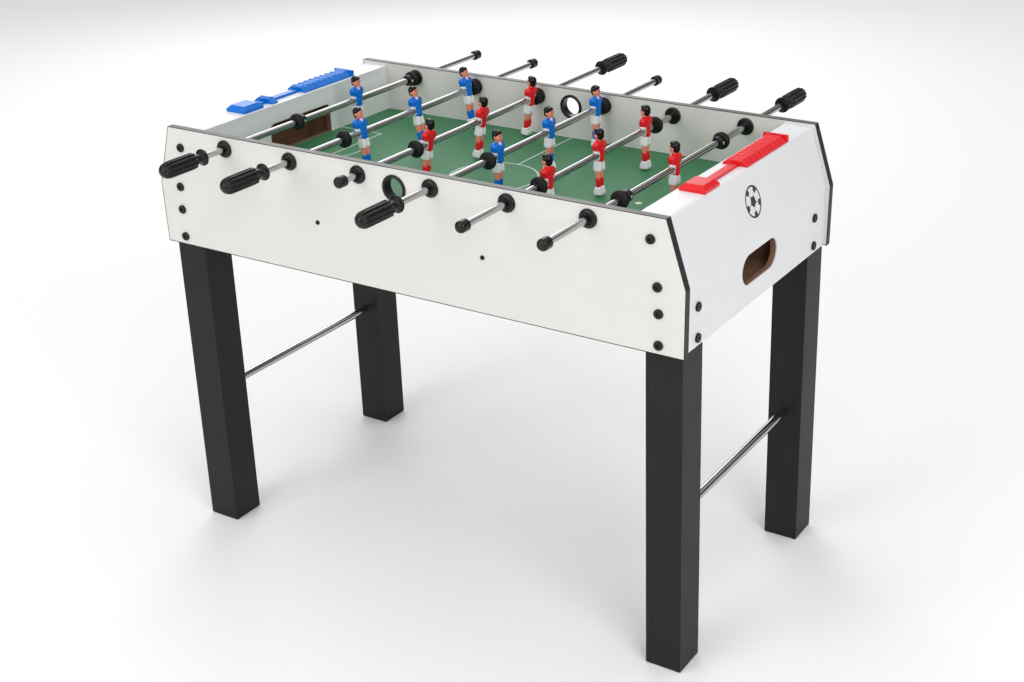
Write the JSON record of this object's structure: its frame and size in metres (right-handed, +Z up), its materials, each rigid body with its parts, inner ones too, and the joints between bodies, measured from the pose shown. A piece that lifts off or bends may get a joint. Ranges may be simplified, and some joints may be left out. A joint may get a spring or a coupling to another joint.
{
  "type": "foosball table",
  "caption": "Foosball table: laminated cabinet on square legs, sliding and spinning rods that carry moulded players, handles and bumpers, and sliding score counters.",
  "frame": {"origin": "on the floor, under the middle of the whole table with its rods at rest", "axes": "+X along the playfield towards the right-hand goal (red), +Y across it towards the far side, +Z up"},
  "size_m": [1.09, 1.086, 0.843],
  "materials": {
    "white_laminate": "satin white laminated board",
    "black_edging": "black plastic edging",
    "fibreboard": "raw brown fibreboard",
    "field_green": "printed green board",
    "black_leg": "black foil over board",
    "chrome": "polished chrome",
    "black_plastic": "moulded black plastic",
    "rubber": "black rubber",
    "black_steel": "blackened steel",
    "blue_plastic": "moulded blue plastic",
    "red_plastic": "moulded red plastic"
  },
  "bodies": {
    "cabinet": {"front_side_panel": "white_laminate", "back_side_panel": "white_laminate", "panel_edge_trims": "black_edging", "left_end_panel": "white_laminate", "left_goal_wall": "white_laminate", "left_ball_box": "fibreboard", "right_end_panel": "white_laminate", "right_goal_wall": "white_laminate", "right_ball_box": "fibreboard", "playfield": "field_green", "playfield_battens": "fibreboard", "corner_cleats": "fibreboard", "front_left_leg": "black_leg", "front_right_leg": "black_leg", "back_left_leg": "black_leg", "back_right_leg": "black_leg", "leg_feet": "black_plastic", "leg_stretchers": "chrome", "panel_bolts": "black_steel", "rod_bushings": "black_plastic", "bushing_nuts": "black_plastic", "ball_entry_rings": "black_plastic", "blue_score_rail": "blue_plastic", "red_score_rail": "red_plastic"},
    "rod_1_bumper_set": {"rod_1_bumpers": "rubber"},
    "rod_1": {"rod_1_tube": "chrome", "rod_1_players": "blue_plastic", "rod_1_handle": "black_plastic", "rod_1_end_cap": "black_plastic", "rod_1_collars": "black_plastic"},
    "rod_2_bumper_set": {"rod_2_bumpers": "rubber"},
    "rod_2": {"rod_2_tube": "chrome", "rod_2_players": "blue_plastic", "rod_2_handle": "black_plastic", "rod_2_end_cap": "black_plastic"},
    "rod_3_bumper_set": {"rod_3_bumpers": "rubber"},
    "rod_3": {"rod_3_tube": "chrome", "rod_3_players": "red_plastic", "rod_3_handle": "black_plastic", "rod_3_end_cap": "black_plastic"},
    "rod_4_bumper_set": {"rod_4_bumpers": "rubber"},
    "rod_4": {"rod_4_tube": "chrome", "rod_4_players": "blue_plastic", "rod_4_handle": "black_plastic", "rod_4_end_cap": "black_plastic"},
    "rod_5_bumper_set": {"rod_5_bumpers": "rubber"},
    "rod_5": {"rod_5_tube": "chrome", "rod_5_players": "red_plastic", "rod_5_handle": "black_plastic", "rod_5_end_cap": "black_plastic"},
    "rod_6_bumper_set": {"rod_6_bumpers": "rubber"},
    "rod_6": {"rod_6_tube": "chrome", "rod_6_players": "red_plastic", "rod_6_handle": "black_plastic", "rod_6_end_cap": "black_plastic", "rod_6_collars": "black_plastic"},
    "blue_first_marker_slider": {"blue_first_marker": "blue_plastic"},
    "blue_marker_stack_slider": {"blue_marker_stack": "blue_plastic"},
    "red_first_marker_slider": {"red_first_marker": "red_plastic"},
    "red_marker_stack_slider": {"red_marker_stack": "red_plastic"}
  },
  "joints": [
    {"name": "rod_1_slide", "type": "slide", "parent": "cabinet", "child": "rod_1_bumper_set", "axis": [0, 1, 0], "range_m": [-0.1677, 0.0037]},
    {"name": "rod_1_spin", "type": "hinge", "parent": "rod_1_bumper_set", "child": "rod_1", "pos_m": [-0.375, -0.071, 0.795], "axis": [0, 1, 0], "continuous": true},
    {"name": "rod_2_slide", "type": "slide", "parent": "cabinet", "child": "rod_2_bumper_set", "axis": [0, 1, 0], "range_m": [-0.1222, 0.0007]},
    {"name": "rod_2_spin", "type": "hinge", "parent": "rod_2_bumper_set", "child": "rod_2", "pos_m": [-0.225, -0.071, 0.795], "axis": [0, 1, 0], "continuous": true},
    {"name": "rod_3_slide", "type": "slide", "parent": "cabinet", "child": "rod_3_bumper_set", "axis": [0, 1, 0], "range_m": [-0.1362, 0.0007]},
    {"name": "rod_3_spin", "type": "hinge", "parent": "rod_3_bumper_set", "child": "rod_3", "pos_m": [-0.075, -0.071, 0.795], "axis": [0, 1, 0], "continuous": true},
    {"name": "rod_4_slide", "type": "slide", "parent": "cabinet", "child": "rod_4_bumper_set", "axis": [0, 1, 0], "range_m": [-0.1412, 0.0007]},
    {"name": "rod_4_spin", "type": "hinge", "parent": "rod_4_bumper_set", "child": "rod_4", "pos_m": [0.075, -0.071, 0.795], "axis": [0, 1, 0], "continuous": true},
    {"name": "rod_5_slide", "type": "slide", "parent": "cabinet", "child": "rod_5_bumper_set", "axis": [0, 1, 0], "range_m": [-0.0692, 0.0602]},
    {"name": "rod_5_spin", "type": "hinge", "parent": "rod_5_bumper_set", "child": "rod_5", "pos_m": [0.225, -0.071, 0.795], "axis": [0, 1, 0], "continuous": true},
    {"name": "rod_6_slide", "type": "slide", "parent": "cabinet", "child": "rod_6_bumper_set", "axis": [0, 1, 0], "range_m": [-0.0727, 0.0897]},
    {"name": "rod_6_spin", "type": "hinge", "parent": "rod_6_bumper_set", "child": "rod_6", "pos_m": [0.375, -0.071, 0.795], "axis": [0, 1, 0], "continuous": true},
    {"name": "blue_stack_slide", "type": "slide", "parent": "cabinet", "child": "blue_marker_stack_slider", "axis": [0, 1, 0], "range_m": [-0.016, 0]},
    {"name": "blue_first_marker_slide", "type": "slide", "parent": "cabinet", "child": "blue_first_marker_slider", "axis": [0, 1, 0], "range_m": [-0.02315, 0.0613]},
    {"name": "red_stack_slide", "type": "slide", "parent": "cabinet", "child": "red_marker_stack_slider", "axis": [0, 1, 0], "range_m": [-0.016, 0]},
    {"name": "red_first_marker_slide", "type": "slide", "parent": "red_marker_stack_slider", "child": "red_first_marker_slider", "axis": [0, 1, 0], "range_m": [-0.08515, 0]}
  ]
}
